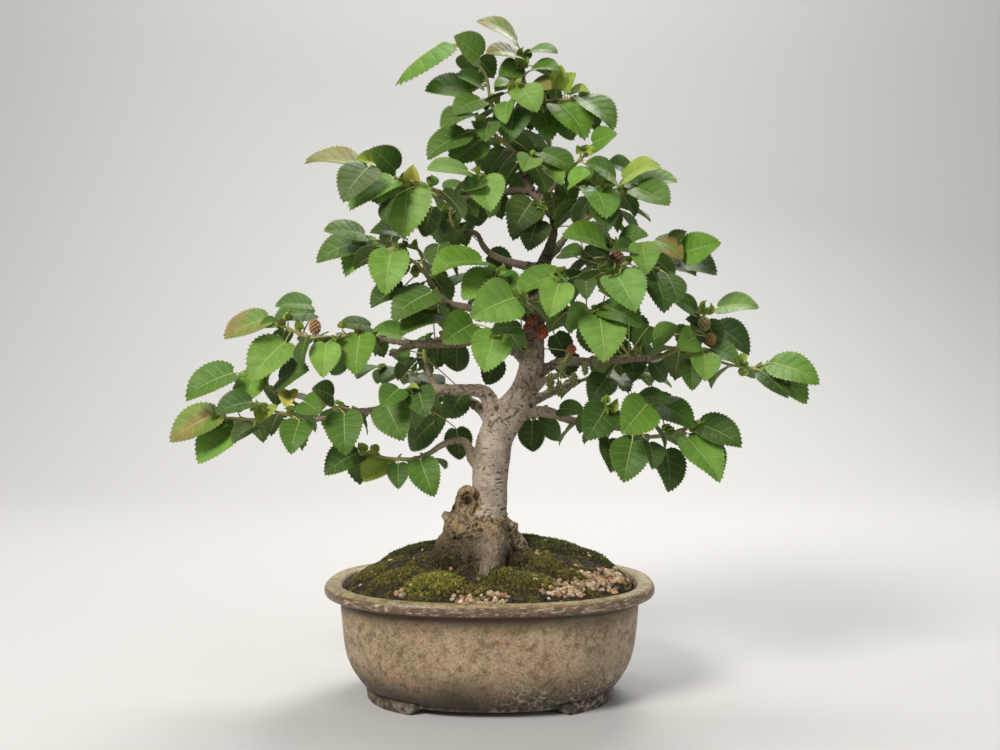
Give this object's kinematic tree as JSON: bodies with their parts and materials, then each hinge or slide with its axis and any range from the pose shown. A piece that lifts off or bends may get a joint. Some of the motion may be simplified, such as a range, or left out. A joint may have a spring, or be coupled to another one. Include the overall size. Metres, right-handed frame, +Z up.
{
  "type": "mulberry bonsai",
  "caption": "Mulberry bonsai tree with a thick tapering trunk, a healed burl and drooping leafy sprays, planted in a mossy mound in an oval stoneware pot with a rolled rim and low curved feet.",
  "frame": {"origin": "middle of the pot's footprint, on the surface that the pot stands on", "axes": "+Z up, +X to the viewer's right and +Y away from the viewer, who sees the tree's front with the longest branch reaching left"},
  "size_m": [0.562, 0.2473, 0.5976],
  "materials": {
    "stoneware": "matte mottled stoneware glaze",
    "screen": "black mesh",
    "soil": "damp gritty soil under moss",
    "bark": "rough grey-brown bark",
    "leaf": "satin living leaf",
    "fruit": "soft unripe berry"
  },
  "bodies": {
    "root": {"pot": "stoneware", "drain_screen_left": "screen", "drain_screen_right": "screen", "soil": "soil", "trunk": "bark", "fruit_left": "fruit", "fruit_right_high": "fruit", "fruit_right_upper": "fruit", "fruit_right_lower": "fruit", "fruit_trunk": "fruit", "spray_crown_tip": "leaf", "spray_crown_left": "leaf", "spray_crown_left_low": "leaf", "spray_crown_centre": "leaf", "spray_crown_right": "leaf", "spray_shoulder_tuft": "leaf", "spray_shoulder_right_tip": "leaf", "spray_shoulder_right_inner": "leaf", "spray_shoulder_left_tip": "leaf", "spray_shoulder_left_inner": "leaf", "spray_shoulder_left_front": "leaf", "spray_shoulder_left_under": "leaf", "spray_high_left_tip": "leaf", "spray_high_left_inner": "leaf", "spray_high_left_low": "leaf", "spray_centre_left_upper": "leaf", "spray_front_centre": "leaf", "spray_front_heart": "leaf", "spray_front_right_heart": "leaf", "spray_mid_left_tip": "leaf", "spray_mid_left_mid": "leaf", "spray_mid_left_inner": "leaf", "spray_long_left_tip": "leaf", "spray_long_left_upper": "leaf", "spray_long_left_mid": "leaf", "spray_long_left_heart": "leaf", "spray_long_left_inner": "leaf", "spray_low_left_tip": "leaf", "spray_low_left_back": "leaf", "spray_low_right_tip": "leaf", "spray_low_right_mid": "leaf", "spray_low_right_inner": "leaf", "spray_low_right_hanging": "leaf", "spray_mid_right_tip": "leaf", "spray_mid_right_upper": "leaf", "spray_mid_right_heart": "leaf", "spray_mid_right_inner": "leaf", "spray_high_right_tip": "leaf", "spray_high_right_top": "leaf", "spray_high_right_mid": "leaf", "spray_high_right_front": "leaf", "spray_front_right_long": "leaf", "spray_heart_window": "leaf", "spray_leader_front": "leaf", "spray_back_low_left": "leaf", "spray_back_low_right": "leaf", "spray_back_middle": "leaf", "spray_back_high_right": "leaf", "spray_back_high_left": "leaf", "spray_back_crown": "leaf"}
  },
  "joints": []
}
